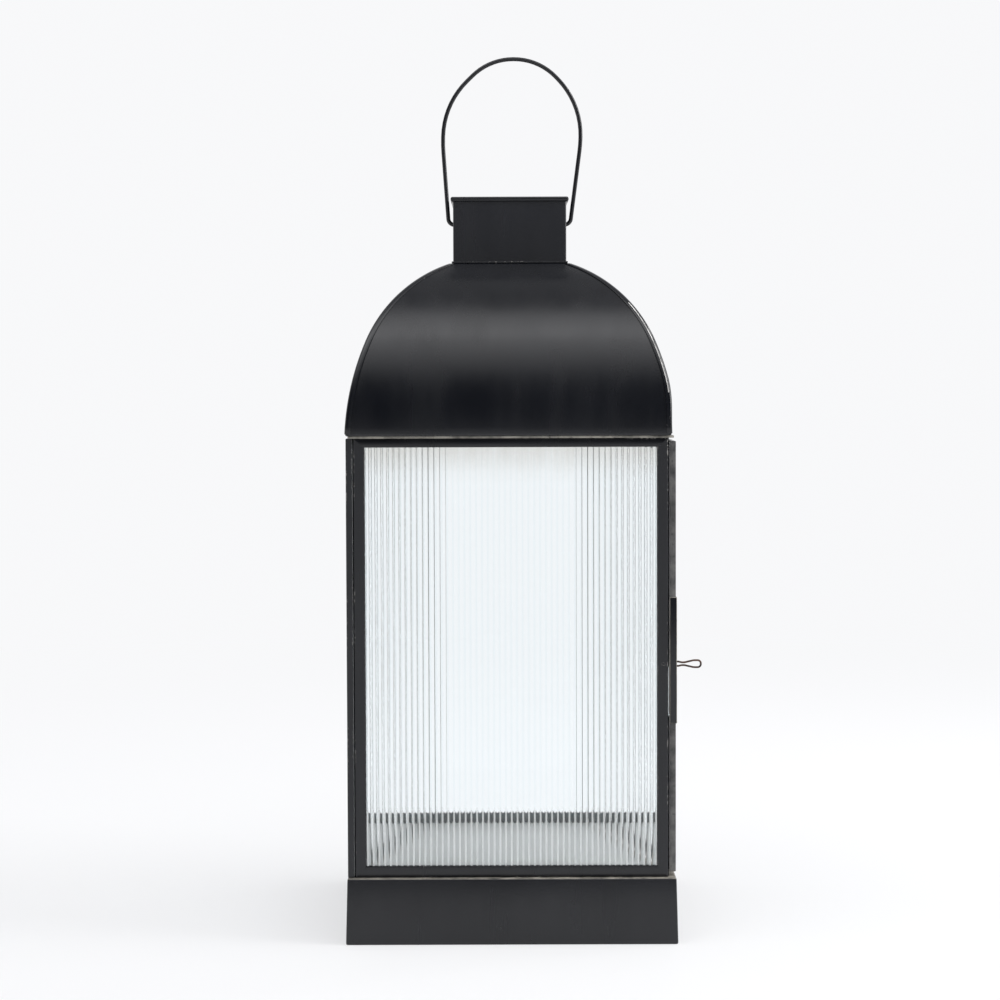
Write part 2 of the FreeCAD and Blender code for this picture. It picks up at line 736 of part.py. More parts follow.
def makeLatchPull():
    """Teardrop loop of thin wire standing out from the latch plate."""
    start = size("sidePlane + latchSheet")
    middle = size("pullLevel")
    frontY = -size("doorHalfLong - pullBehindFront")
    half = []
    for reach, halfTall in (("0", "pullFootHalf"), ("pullStub", "pullFootHalf"),
                            ("pinchStart", "pinchHalf"), ("pinchEnd", "pinchHalf"),
                            ("pullWidens", "pullHalfTall"), ("pullLong", "pullHalfTall")):
        half.append((start + size(reach), size(halfTall)))
    outline = half + [(x, -z) for x, z in reversed(half)]
    points = [Vector(x, frontY, middle + z) for x, z in outline]
    halfBends = [size(bend) for bend in ("pullFootBend", "pinchFirstBend", "pinchLastBend",
                                         "pullSideBend", "pullTipBend")]
    makeRound("latch_pull", points, halfBends + halfBends[::-1], "pullWire")


# ---------------------------------------------------------------- the whole lantern

def buildLantern():
    makeBaseShell()
    makeSquarePlate("floor_plate", "floorHalf", "floorHalf", "sheetThick", "plinthTall")
    makeSquarePlate("crown_ring", "ringHalfX", "ringHalfY", "ringThick", "frameTopLevel",
                    "ringInnerHalf")
    front = ("frontHalfWide", "frontPlane", "plinthTall", "frameTopLevel")
    side = ("frontPlane", "sidePlane", "plinthTall", "frameTopLevel")
    door = ("doorHalfLong", "sidePlane", "doorBottom", "doorTop")
    for name, angle, dimensions in (("front", 0, front), ("rear", 180, front), ("left", -90, side),
                                    ("door", 90, door)):
        makeGlazedFrame(name + "_frame", angle, *dimensions)
        makePane(name + "_glass", angle, *dimensions)
    cornerX = size("frontHalfWide")
    cornerY = size("frontPlane - channelDeep")
    makeCornerPost("post_front_left", 0, -cornerX, -cornerY)
    makeCornerPost("post_front_right", 1, cornerX, -cornerY)
    makeCornerPost("post_rear_right", 2, cornerX, cornerY)
    makeCornerPost("post_rear_left", 3, -cornerX, cornerY)
    makeLatchPlate()
    makeLatchPull()
    makeCatchSpring()
    makeCatchRivet()
    makeHinge("hinge_lower", "hingeLowLevel")
    makeHinge("hinge_upper", "hingeHighLevel")
    for name, angle in (("rear", 0), ("left", 90), ("front", 180), ("right", 270)):
        makeRoofPanel("roof_" + name, angle)
    for name, angle in (("rear_right", 0), ("rear_left", 90), ("front_left", 180),
                        ("front_right", 270)):
        makeRoofSeam("roof_seam_" + name, angle)
    makeSquarePlate("neck_collar", "neckHalf + collarWide", "neckHalf + collarWide", "collarThick",
                    roofArcs("0 * seamThick")[2][1], "neckHalf")
    makeChimney()
    makeChimneyRim()
    makeHandle()


def checkParts():
    doc.recompute()
    for item in doc.Objects:
        if "Invalid" in item.State or "Error" in item.State:
            raise RuntimeError(f"{item.Label} failed: {item.State}")
    for label, item in parts.items():
        if item.Shape.isNull() or not item.Shape.isValid() or item.Shape.Volume <= 0:
            raise RuntimeError(f"{label} has no sound solid")
        box = item.Shape.BoundBox
        print(f"{label}: {len(item.Shape.Solids)} solids, {item.Shape.Volume:.1f} mm3, "
              f"x {box.XMin:.1f} {box.XMax:.1f}, y {box.YMin:.1f} {box.YMax:.1f}, "
              f"z {box.ZMin:.1f} {box.ZMax:.1f}")


def writeParts():
    os.makedirs("parts", exist_ok=True)
    for label, item in parts.items():
        item.Shape.exportStep(f"parts/{label}.step")


buildLantern()
checkParts()
writeParts()
print(f"{len(parts)} parts written")
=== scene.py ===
import math

import bmesh
import bpy
from mathutils import Matrix, Vector


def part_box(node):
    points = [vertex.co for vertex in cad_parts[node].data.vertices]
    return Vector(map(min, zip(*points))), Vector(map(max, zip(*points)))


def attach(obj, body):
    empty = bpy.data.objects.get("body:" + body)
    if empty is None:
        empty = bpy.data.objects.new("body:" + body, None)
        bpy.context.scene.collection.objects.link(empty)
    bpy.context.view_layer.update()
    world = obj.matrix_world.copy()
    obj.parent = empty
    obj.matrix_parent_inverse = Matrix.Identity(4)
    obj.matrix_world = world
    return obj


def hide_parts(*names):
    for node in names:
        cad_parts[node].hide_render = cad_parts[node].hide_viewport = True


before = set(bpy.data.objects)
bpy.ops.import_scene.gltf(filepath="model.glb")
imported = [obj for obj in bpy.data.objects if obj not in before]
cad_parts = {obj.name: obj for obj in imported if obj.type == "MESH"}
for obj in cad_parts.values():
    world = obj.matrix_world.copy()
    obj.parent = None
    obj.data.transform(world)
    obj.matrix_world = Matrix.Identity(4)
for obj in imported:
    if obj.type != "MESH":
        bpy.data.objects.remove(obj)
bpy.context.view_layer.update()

mm = 0.001


# small helpers for modelling by operators

def deselectAll():
    bpy.ops.object.select_all(action="DESELECT")


def pick(piece):
    deselectAll()
    piece.select_set(True)
    bpy.context.view_layer.objects.active = piece


def openEdit(piece, kind="FACE"):
    pick(piece)
    bpy.ops.object.mode_set(mode="EDIT")
    bpy.ops.mesh.select_mode(type=kind)


def closeEdit():
    bpy.ops.object.mode_set(mode="OBJECT")


def selectWhere(piece, part, test):
    bpy.ops.mesh.select_all(action="DESELECT")
    shape = bmesh.from_edit_mesh(piece.data)
    for element in getattr(shape, part):
        if test(element):
            element.select_set(True)
    shape.select_flush_mode()
    bmesh.update_edit_mesh(piece.data)


def applyPlace(piece):
    pick(piece)
    bpy.ops.object.transform_apply(location=True, rotation=True, scale=True)


def applyModifier(piece, kind, **settings):
    pick(piece)
    modifier = piece.modifiers.new(kind.title(), kind)
    for name, value in settings.items():
        setattr(modifier, name, value)
    bpy.ops.object.modifier_apply(modifier=modifier.name)


def addBlock(name, low, high):
    deselectAll()
    low = Vector(low)
    high = Vector(high)
    bpy.ops.mesh.primitive_cube_add(size=1, location=(low + high) / 2, scale=high - low)
    piece = bpy.context.object
    piece.name = name
    piece.data.name = name
    applyPlace(piece)
    return piece


def addEdge(name, start, end):
    deselectAll()
    bpy.ops.mesh.primitive_plane_add(size=1)
    piece = bpy.context.object
    piece.name = name
    piece.data.name = name
    openEdit(piece, "VERT")
    selectWhere(piece, "verts", lambda vertex: vertex.co.y > 0)
    bpy.ops.mesh.delete(type="VERT")
    closeEdit()
    for vertex, place in zip(piece.data.vertices, (start, end)):
        vertex.co = place
    return piece


def smoothBy(piece, degrees=30):
    pick(piece)
    bpy.ops.object.shade_smooth_by_angle(angle=math.radians(degrees))


def turnOutwards(piece):
    openEdit(piece)
    bpy.ops.mesh.select_all(action="SELECT")
    bpy.ops.mesh.normals_make_consistent(inside=False)
    closeEdit()


def placeMesh(piece, matrix):
    piece.data.transform(matrix)
    piece.data.update()


def dress(piece, body, slot, materials, *nodes):
    for index, material in enumerate(materials):
        if index < len(piece.data.materials):
            piece.data.materials[index] = material
        else:
            piece.data.materials.append(material)
    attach(piece, body)
    if nodes:
        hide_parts(*nodes)
    return piece


# materials

def newMaterial(name):
    material = bpy.data.materials.new(name)
    material.use_nodes = True
    nodes = material.node_tree.nodes
    shader = nodes["Principled BSDF"]
    place = nodes.new("ShaderNodeTexCoord")
    return material, shader, place.outputs["Object"]


def addNode(material, kind, inputs=None, **settings):
    node = material.node_tree.nodes.new(kind)
    for name, value in settings.items():
        setattr(node, name, value)
    for name, value in (inputs or {}).items():
        if isinstance(value, bpy.types.NodeSocket):
            material.node_tree.links.new(value, node.inputs[name])
        else:
            node.inputs[name].default_value = value
    return node


def noise(material, place, scale, detail=3.0, roughness=0.55, stretch=None):
    if stretch:
        place = addNode(material, "ShaderNodeMapping", {"Vector": place, "Scale": stretch}).outputs[0]
    settings = {"Vector": place, "Scale": scale, "Detail": detail, "Roughness": roughness}
    return addNode(material, "ShaderNodeTexNoise", settings).outputs["Fac"]


def spread(material, value, low, high, fromLow=0.0, fromHigh=1.0):
    settings = {"Value": value, "From Min": fromLow, "From Max": fromHigh, "To Min": low, "To Max": high}
    return addNode(material, "ShaderNodeMapRange", settings).outputs["Result"]


def blendColours(material, share, first, second):
    node = addNode(material, "ShaderNodeMix", data_type="RGBA")
    links = material.node_tree.links
    links.new(share, node.inputs["Factor"])
    for socket, value in ((node.inputs[6], first), (node.inputs[7], second)):
        if isinstance(value, bpy.types.NodeSocket):
            links.new(value, socket)
        else:
            socket.default_value = value
    return node.outputs[2]


def bumpOf(material, height, strength, distance, normal=None):
    inputs = {"Height": height, "Strength": strength, "Distance": distance}
    if normal:
        inputs["Normal"] = normal
    return addNode(material, "ShaderNodeBump", inputs).outputs["Normal"]


blackPaint = {
    "colour": (0.0030, 0.0038, 0.0062, 1),
    "dustyAndLit": (0.0115, 0.0125, 0.0165, 1),
    "chip": (0.26, 0.25, 0.24, 1),
    "roughnessLow": 0.20,
    "roughnessHigh": 0.30,
    "chipSoftness": 0.03,
    "patchFrom": 0.52,
    "patchTo": 0.66,
}


def paintMaterial(name, chipEdge, chipShare, paintedLightFrom=None, paintedLightTo=None, polish=0.0):
    material, shader, place = newMaterial(name)
    links = material.node_tree.links
    clouds = spread(material, noise(material, place, 14.0, 4.0), 0.0, 0.5, 0.4, 0.75)
    # painted light: between two heights the paint grows lighter towards the top, standing in for the lower
    # part reflecting the dark roof
    if paintedLightTo:
        height = addNode(material, "ShaderNodeSeparateXYZ", {"Vector": place}).outputs["Z"]
        dustAndPaintedLight = spread(material, height, 0.0, 1.0, paintedLightFrom, paintedLightTo)
        clouds = addNode(material, "ShaderNodeMath", {0: clouds, 1: dustAndPaintedLight}, operation="ADD").outputs[0]
    colour = blendColours(material, clouds, blackPaint["colour"], blackPaint["dustyAndLit"])
    flecks = noise(material, place, 420.0, 5.0, 0.7)
    patches = noise(material, place, 26.0, 2.0)
    spots = spread(material, flecks, 0.0, 1.0, chipEdge, chipEdge + blackPaint["chipSoftness"])
    where = spread(material, patches, 0.0, 1.0, blackPaint["patchFrom"], blackPaint["patchTo"])
    chips = addNode(material, "ShaderNodeMath", {0: spots, 1: where}, operation="MULTIPLY")
    chips = spread(material, chips.outputs[0], 0.0, chipShare)
    links.new(blendColours(material, chips, colour, blackPaint["chip"]), shader.inputs["Base Color"])
    streaks = noise(material, place, 60.0, 3.0, stretch=(1, 1, 0.12))
    rough = spread(material, streaks, blackPaint["roughnessLow"] - polish,
                   blackPaint["roughnessHigh"] - polish, 0.3, 0.7)
    links.new(rough, shader.inputs["Roughness"])
    waves = bumpOf(material, noise(material, place, 9.0, 1.0), 0.22, 0.004)
    grain = bumpOf(material, noise(material, place, 900.0, 2.0), 0.10, 0.0003, waves)
    links.new(grain, shader.inputs["Normal"])
    return material


# painted shade: near-black paint that hardly reflects, for faces in the gaps between parts, where shadow
# falls
def gapShadeMaterial():
    material, shader, place = newMaterial("gapPaintedShade")
    links = material.node_tree.links
    dustAndPaintedLight = noise(material, place, 180.0, 4.0)
    links.new(blendColours(material, dustAndPaintedLight, (0.004, 0.004, 0.005, 1), (0.016, 0.016, 0.018, 1)),
              shader.inputs["Base Color"])
    links.new(spread(material, dustAndPaintedLight, 0.7, 0.95), shader.inputs["Roughness"])
    shader.inputs["Specular IOR Level"].default_value = 0.05
    links.new(bumpOf(material, dustAndPaintedLight, 0.2, 0.0003), shader.inputs["Normal"])
    return material


# light worn paint in patches; where it lies on edges and seams it also stands in for the light they catch, a
# painted highlight
def rubbedAndLitMaterial(name, wornAndLit, rubbedAndLit):
    material, shader, place = newMaterial(name)
    links = material.node_tree.links
    patches = noise(material, place, 130.0, 4.0, 0.6)
    spots = noise(material, place, 700.0, 3.0)
    colour = blendColours(material, spread(material, patches, 0.0, 1.0, 0.3, 0.62), wornAndLit, rubbedAndLit)
    colour = blendColours(material, spread(material, spots, 0.0, 0.8, 0.6, 0.72), colour,
                          (0.015, 0.015, 0.016, 1))
    links.new(colour, shader.inputs["Base Color"])
    links.new(spread(material, spots, 0.4, 0.7), shader.inputs["Roughness"])
    links.new(bumpOf(material, patches, 0.25, 0.0004), shader.inputs["Normal"])
    return material


def innerMaterial(name, dark, light):
    material, shader, place = newMaterial(name)
    links = material.node_tree.links
    dustAndPaintedLight = noise(material, place, 60.0, 4.0)
    links.new(blendColours(material, dustAndPaintedLight, dark, light), shader.inputs["Base Color"])
    links.new(spread(material, dustAndPaintedLight, 0.4, 0.65), shader.inputs["Roughness"])
    links.new(bumpOf(material, dustAndPaintedLight, 0.2, 0.0003), shader.inputs["Normal"])
    return material


def zincMaterial():
    material, shader, place = newMaterial("zincSheet")
    spangle = addNode(material, "ShaderNodeTexVoronoi", {"Vector": place, "Scale": 160.0}).outputs["Color"]
    grey = addNode(material, "ShaderNodeRGBToBW", {"Color": spangle}).outputs[0]
    stains = noise(material, place, 22.0, 4.0)
    colour = blendColours(material, spread(material, grey, 0.0, 0.35),
                          (0.54, 0.555, 0.55, 1), (0.63, 0.645, 0.64, 1))
    colour = blendColours(material, spread(material, stains, 0.0, 0.5, 0.5, 0.8), colour,
                          (0.45, 0.44, 0.42, 1))
    links = material.node_tree.links
    links.new(colour, shader.inputs["Base Color"])
    links.new(spread(material, stains, 0.42, 0.6), shader.inputs["Roughness"])
    shader.inputs["Metallic"].default_value = 0.15
    links.new(bumpOf(material, noise(material, place, 300.0, 3.0), 0.15, 0.0003),
              shader.inputs["Normal"])
    return material


def steelMaterial():
    material, shader, place = newMaterial("drawnSteel")
    lines = noise(material, place, 300.0, 3.0, stretch=(1, 1, 0.1))
    colour = blendColours(material, lines, (0.30, 0.29, 0.28, 1), (0.46, 0.45, 0.44, 1))
    links = material.node_tree.links
    links.new(colour, shader.inputs["Base Color"])
    links.new(spread(material, lines, 0.25, 0.45), shader.inputs["Roughness"])
    shader.inputs["Metallic"].default_value = 0.9
    links.new(bumpOf(material, lines, 0.1, 0.0002), shader.inputs["Normal"])
    return material


def brownWireMaterial():
    material, shader, place = newMaterial("brownLacquer")
    patches = noise(material, place, 240.0, 4.0)
    colour = blendColours(material, spread(material, patches, 0, 1, 0.35, 0.65),
                          (0.014, 0.008, 0.006, 1), (0.085, 0.036, 0.018, 1))
    links = material.node_tree.links
    links.new(colour, shader.inputs["Base Color"])
    links.new(spread(material, patches, 0.25, 0.45), shader.inputs["Roughness"])
    shader.inputs["Metallic"].default_value = 0.1
    links.new(bumpOf(material, patches, 0.1, 0.0002), shader.inputs["Normal"])
    return material


# painted shade greys the glass near the top, standing in for the dark roof reflected in the ribs, and dust
# frosts the front pane's valleys low down

glass = {
    "clear": ((0.975, 0.991, 0.997, 1), (0.982, 0.995, 0.999, 1)),
    "valley": ((0.90, 0.945, 0.96, 1), (0.93, 0.965, 0.975, 1)),
    "paintedTopShade": (0.80, 0.79, 0.76, 1),
    "paintedShadeFrom": 0.277,
    "paintedShadeTo": 0.302,
    "frost": (0.86, 0.89, 0.89, 1),
    "frostShare": 0.62,
    "frostFull": 0.078,
    "frostEnd": 0.083,
    "straightShare": 0.65,
}


def glassMaterial(name, clear, tinted, frostShare, straightShare):
    material, shader, place = newMaterial(name)
    links = material.node_tree.links
    tint = blendColours(material, noise(material, place, 20.0, 2.0), clear, tinted)
    height = addNode(material, "ShaderNodeSeparateXYZ", {"Vector": place}).outputs["Z"]
    # painted shade: the glass is greyed towards the top of the pane, standing in for reflections of the dark
    # roof
    paintedTopShade = noise(material, place, 150.0, 3.0, stretch=(1, 1, 0.15))
    rise = spread(material, height, 0.0, 1.3, glass["paintedShadeFrom"], glass["paintedShadeTo"])
    paintedTopShade = addNode(material, "ShaderNodeMath", {0: paintedTopShade, 1: rise}, operation="MULTIPLY").outputs[0]
    tint = blendColours(material, paintedTopShade, tint, glass["paintedTopShade"])
    links.new(tint, shader.inputs["Base Color"])
    shader.inputs["Transmission Weight"].default_value = 1.0
    shader.inputs["IOR"].default_value = 1.5
    smear = noise(material, place, 120.0, 4.0)
    links.new(spread(material, smear, 0.02, 0.07, 0.4, 0.75), shader.inputs["Roughness"])
    ripple = noise(material, place, 60.0, 2.0, stretch=(1, 1, 0.25))
    links.new(bumpOf(material, ripple, 0.05, 0.0004), shader.inputs["Normal"])
    straight = addNode(material, "ShaderNodeBsdfTransparent", {"Color": tint})
    mixed = addNode(material, "ShaderNodeMixShader",
                    {0: straightShare, 1: shader.outputs[0], 2: straight.outputs[0]})
    foot = spread(material, height, frostShare, 0.0, glass["frostFull"], glass["frostEnd"])
    frost = addNode(material, "ShaderNodeBsdfDiffuse", {"Color": glass["frost"]})
    mixed = addNode(material, "ShaderNodeMixShader", {0: foot, 1: mixed.outputs[0], 2: frost.outputs[0]})
    links.new(mixed.outputs[0], material.node_tree.nodes["Material Output"].inputs["Surface"])
    return material


blackFinish = (paintMaterial("blackPaint", 0.775, 0.3), paintMaterial("blackPaintEdges", 0.545, 1.0))
# the chimney's paint has painted light, lighter towards its top, standing in for reflections that leave its
# foot darker
chimneyFinish = (paintMaterial("chimneyPaint", 0.79, 0.3, 0.41, 0.455), blackFinish[1])
ridgeFinish = (blackFinish[0], paintMaterial("ridgePaint", 0.64, 0.9, polish=0.08))
gapPaintedShade = gapShadeMaterial()
innerPaint = innerMaterial("innerPaint", (0.025, 0.045, 0.05, 1), (0.06, 0.085, 0.09, 1))
thinPaint = innerMaterial("thinPaint", (0.52, 0.55, 0.55, 1), (0.64, 0.67, 0.67, 1))
# lighter paints that partly stand in for light: the door-edge paint for the highlight along its fold, the
# next for the light caught by the crown ring's edge and the rivet head, the ridge paint for a highlight line
# along one ridge; the ledge paint is dust and wear on the plinth's ledge and a painted gleam on the latch
# plate's edges
edgePaint = rubbedAndLitMaterial("edgePaint", (0.022, 0.022, 0.024, 1), (0.12, 0.118, 0.115, 1))
rubbedAndLitPaint = rubbedAndLitMaterial("rubbedAndLitPaint", (0.10, 0.095, 0.085, 1), (0.42, 0.40, 0.35, 1))
rubbedAndLitFinish = (blackFinish[0], rubbedAndLitPaint)
ridgePaintedHighlight = rubbedAndLitMaterial("ridgePaintedHighlight", (0.22, 0.22, 0.21, 1), (0.85, 0.84, 0.82, 1))
ledgePaint = rubbedAndLitMaterial("ledgePaint", (0.06, 0.056, 0.05, 1), (0.30, 0.28, 0.24, 1))
zinc = zincMaterial()
steel = steelMaterial()
brownWire = brownWireMaterial()
frontGlass = (glassMaterial("reededGlass", *glass["clear"], 0.0, 0.0),
              glassMaterial("valleyGlass", *glass["valley"], glass["frostShare"], 0.0))
otherGlass = (glassMaterial("farGlass", *glass["clear"], 0.0, glass["straightShare"]),
              glassMaterial("farValleys", *glass["valley"], 0.0, glass["straightShare"]))
print("materials made")


# copies of plain parts, with their edges broken

brokenEdge = {"rim": 0.7 * mm, "collar": 0.25 * mm, "collarReach": 35.9 * mm, "crownRing": 0.3 * mm,
              "floorPlate": 0.2 * mm, "post": 0.3 * mm, "latchPlate": 0.3 * mm, "catchSpring": 0.12 * mm,
              "catchRivet": 0.15 * mm, "hingeLeaf": 0.15 * mm, "hingePin": 0.2 * mm}


def softenNode(node, body, slot, materials, width, segments=2, reach=None, wornAndLit=None):
    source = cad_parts[node]
    piece = bpy.data.objects.new(node + "_finished", source.data.copy())
    bpy.context.scene.collection.objects.link(piece)
    piece.data.materials.clear()
    for vertex in piece.data.vertices:
        if reach and max(abs(vertex.co.x), abs(vertex.co.y)) > reach:
            vertex.co.x = max(-reach, min(reach, vertex.co.x))
            vertex.co.y = max(-reach, min(reach, vertex.co.y))
    openEdit(piece)
    bpy.ops.mesh.customdata_custom_splitnormals_clear()
    bpy.ops.mesh.select_all(action="SELECT")
    bpy.ops.mesh.remove_doubles(threshold=0.00001)
    bpy.ops.mesh.dissolve_limited(angle_limit=math.radians(1))
    closeEdit()
    for material in materials:
        piece.data.materials.append(material)
    applyModifier(piece, "BEVEL", width=width, segments=segments, limit_method="ANGLE",
                  angle_limit=math.radians(32), material=len(materials) - 1, harden_normals=False)
    smoothBy(piece, 35)
    for face in piece.data.polygons:
        if wornAndLit and wornAndLit(face):
            face.material_index = len(materials) - 1
    return dress(piece, body, slot, materials, node)


# camera at the front, level with the lower part of the roof

cameraPlace = {"x": -0.0065, "y": -1.6477, "z": 0.3437, "pitch": 2.804, "roll": -0.18, "focal": 93.56}


def makeCamera():
    data = bpy.data.cameras.new("camera")
    camera = bpy.data.objects.new("camera", data)
    bpy.context.scene.collection.objects.link(camera)
    data.lens = cameraPlace["focal"]
    data.sensor_width = 36.0
    tilt = Matrix.Rotation(math.radians(90 - cameraPlace["pitch"]), 4, "X")
    roll = Matrix.Rotation(math.radians(cameraPlace["roll"]), 4, "Z")
    place = Matrix.Translation((cameraPlace["x"], cameraPlace["y"], cameraPlace["z"]))
    camera.matrix_world = place @ tilt @ roll
    bpy.context.scene.camera = camera


makeCamera()


# studio: the camera sees one pale colour; the paint reflects a wide softbox in front, dark below it

studio = {
    "seen": (0.939, 0.942, 0.954, 1),
    "floorNear": 0.55,
    "floorFar": 1.7,
    "floorGlow": 0.55,
    "floorRadius": 14,
    "skyGain": 4,
    "rightPanel": ((1.9, -0.35, 1.15), (0, 0, 0.15), 1.1, 1.3, 26),
    "ridgePanel": ((2.0, 1.0, 2.2), (0.07, -0.07, 0.36), 0.22, 0.22, 4),
    "front": ((-90, 0.55), (1, 0.45), (9, 0.05), (26, 0.03), (38, 1.3), (50, 3.0), (64, 2.2), (80, 0.6),
              (90, 0.4)),
    "back": ((-90, 0.9), (0, 0.93), (20, 0.9), (40, 0.6), (60, 0.38), (90, 0.4)),
}


def skyProfile(world, elevation, stops):
    ramp = addNode(world, "ShaderNodeValToRGB", {"Fac": elevation})
    elements = ramp.color_ramp.elements
    while len(elements) < len(stops):
        elements.new(0.5)
    for element, (angle, level) in zip(elements, stops):
        element.position = (angle + 90) / 180
        stored = level / studio["skyGain"]
        element.color = (stored, stored, stored, 1)
    ramp.color_ramp.interpolation = "EASE"
    return ramp.outputs["Color"]


def makeWorld():
    world = bpy.data.worlds.new("studio")
    bpy.context.scene.world = world
    world.use_nodes = True
    links = world.node_tree.links
    background = world.node_tree.nodes["Background"]
    direction = addNode(world, "ShaderNodeTexCoord").outputs["Generated"]
    unit = addNode(world, "ShaderNodeVectorMath", {0: direction}, operation="NORMALIZE").outputs[0]
    parts = addNode(world, "ShaderNodeSeparateXYZ", {"Vector": unit}).outputs
    lift = addNode(world, "ShaderNodeMath", {0: parts["Z"]}, operation="ARCSINE").outputs[0]
    elevation = spread(world, lift, 0.0, 1.0, -math.pi / 2, math.pi / 2)
    frontShare = spread(world, parts["Y"], 1.0, 0.0, -0.45, 0.35)
    sky = blendColours(world, frontShare, skyProfile(world, elevation, studio["back"]),
                       skyProfile(world, elevation, studio["front"]))
    gain = studio["skyGain"]
    raised = addNode(world, "ShaderNodeVectorMath", {0: sky, 1: (gain, gain, gain * 1.015)},
                     operation="MULTIPLY")
    cameraRay = addNode(world, "ShaderNodeLightPath").outputs["Is Camera Ray"]
    links.new(blendColours(world, cameraRay, raised.outputs[0], studio["seen"]), background.inputs["Color"])


def addPanel(name, place, target, width, height, power):
    light = bpy.data.lights.new(name, "AREA")
    light.shape = "RECTANGLE"
    light.size = width
    light.size_y = height
    light.energy = power
    lamp = bpy.data.objects.new(name, light)
    bpy.context.scene.collection.objects.link(lamp)
    lamp.location = place
    lamp.rotation_euler = (Vector(target) - Vector(place)).to_track_quat("-Z", "Y").to_euler()


def makeFloor():
    deselectAll()
    bpy.ops.mesh.primitive_circle_add(vertices=96, radius=studio["floorRadius"], fill_type="NGON")
    floor = bpy.context.object
    floor.name = "floor"
    material, shader, place = newMaterial("paleFloor")
    links = material.node_tree.links
    colour = blendColours(material, noise(material, place, 1.2, 2.0), (0.872, 0.876, 0.884, 1),
                          (0.892, 0.896, 0.904, 1))
    links.new(colour, shader.inputs["Base Color"])
    shader.inputs["Roughness"].default_value = 0.7
    shader.inputs["Specular IOR Level"].default_value = 0.2
    distance = addNode(material, "ShaderNodeVectorMath", {0: place}, operation="LENGTH").outputs["Value"]
    far = addNode(material, "ShaderNodeMapRange", {"Value": distance, "From Min": studio["floorNear"],
                  "From Max": studio["floorFar"], "To Min": studio["floorGlow"]},
                  interpolation_type="SMOOTHSTEP").outputs["Result"]
    glow = addNode(material, "ShaderNodeEmission", {"Color": studio["seen"], "Strength": 1.0})
    mixed = addNode(material, "ShaderNodeMixShader", {0: far, 1: shader.outputs[0], 2: glow.outputs[0]})
    links.new(mixed.outputs[0], material.node_tree.nodes["Material Output"].inputs["Surface"])
    floor.data.materials.append(material)
    applyPlace(floor)


bpy.context.scene.view_settings.view_transform = "Standard"
makeWorld()
makeFloor()
for panelName in ("rightPanel", "ridgePanel"):
    addPanel(panelName, *studio[panelName])
print("camera and studio made")


# plinth: a folded tray standing mouth down

plinth = {"sheet": 0.8 * mm, "fold": 1.1 * mm, "topShrink": 0.99, "hem": 7 * mm, "ledgeDeep": 0.6 * mm}


def makePlinth():
    low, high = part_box("base_shell")
    piece = addBlock("plinth", low, high)
    openEdit(piece)
    selectWhere(piece, "faces", lambda face: face.normal.z > 0.9)
    bpy.ops.transform.resize(value=(plinth["topShrink"], plinth["topShrink"], 1),
                             center_override=(0, 0, high.z))
    selectWhere(piece, "faces", lambda face: face.normal.z < -0.9)
    bpy.ops.mesh.inset(thickness=plinth["hem"])
    bpy.ops.mesh.delete(type="FACE")
    bpy.ops.mesh.select_mode(type="EDGE")
    reach = high.x * plinth["topShrink"] - 0.2 * mm
    selectWhere(piece, "edges", lambda edge: min(max(abs(vertex.co.x), abs(vertex.co.y))
                                                 for vertex in edge.verts) > reach)
    bpy.ops.mesh.bevel(offset=plinth["fold"], segments=4, affect="EDGES", material=1)
    closeEdit()
    applyModifier(piece, "SOLIDIFY", thickness=plinth["sheet"], offset=-1, use_even_offset=True)
    smoothBy(piece, 35)
    for face in piece.data.polygons:
        if face.normal.z > 0.6 and face.center.z > high.z - plinth["ledgeDeep"]:
            face.material_index = 2
    dress(piece, "lantern", "black_paint", (*blackFinish, ledgePaint), "base_shell")


makePlinth()
print("plinth made")


# glazed frames: four mitred channels each

channel = {"sheet": 0.7 * mm, "outerFold": 0.7 * mm, "lip": 0.25 * mm, "stile": 6.4 * mm,
           "topRail": 5.4 * mm, "bottomRail": 7.0 * mm, "groove": 0.7, "touch": 0.1 * mm}
frameFinish = (*blackFinish, gapPaintedShade, innerPaint, thinPaint, edgePaint)
gapSlot, railSlot, stileSlot, doorEdgeSlot = 2, 3, 4, 5


def makeBar(name, length, wide, deep, firstInset, lastInset):
    piece = addBlock(name, (-length / 2, 0, 0), (length / 2, wide, deep))
    for material in frameFinish:
        piece.data.materials.append(material)
    openEdit(piece)
    for sign, inset in ((-1, firstInset), (1, lastInset)):
        bpy.ops.mesh.select_all(action="SELECT")
        normal = Vector((sign * wide, inset, 0)).normalized()
        bpy.ops.mesh.bisect(plane_co=(sign * length / 2, 0, 0), plane_no=normal, use_fill=True,
                            clear_outer=True, clear_inner=False, threshold=0.000001)
    bpy.ops.mesh.select_mode(type="EDGE")
    selectWhere(piece, "edges", lambda edge: all(vertex.co.y < 0.01 * mm for vertex in edge.verts)
                and abs(edge.verts[0].co.x - edge.verts[1].co.x) > length / 2)
    bpy.ops.mesh.bevel(offset=channel["outerFold"], segments=3, affect="EDGES", material=1)
    selectWhere(piece, "edges", lambda edge: all(vertex.co.y > wide - 0.01 * mm for vertex in edge.verts)
                and abs(edge.verts[0].co.x - edge.verts[1].co.x) > length / 2)
    bpy.ops.mesh.bevel(offset=channel["lip"], segments=2, affect="EDGES", material=1)
    bpy.ops.mesh.select_mode(type="FACE")
    selectWhere(piece, "faces", lambda face: face.normal.y > 0.99)
    bpy.ops.mesh.inset(thickness=channel["sheet"] - channel["lip"])
    bpy.ops.mesh.extrude_region_move(TRANSFORM_OT_translate={"value": (0, -wide * channel["groove"], 0)})
    closeEdit()
    turnOutwards(piece)
    return piece


def facing(degrees):
    return Matrix.Rotation(math.radians(degrees), 4, "Z")


def barMatrix(degrees, corner, along, inward):
    across = along.cross(inward)
    turn = Matrix((along, inward, across)).transposed().to_4x4()
    return facing(degrees) @ Matrix.Translation(corner) @ turn


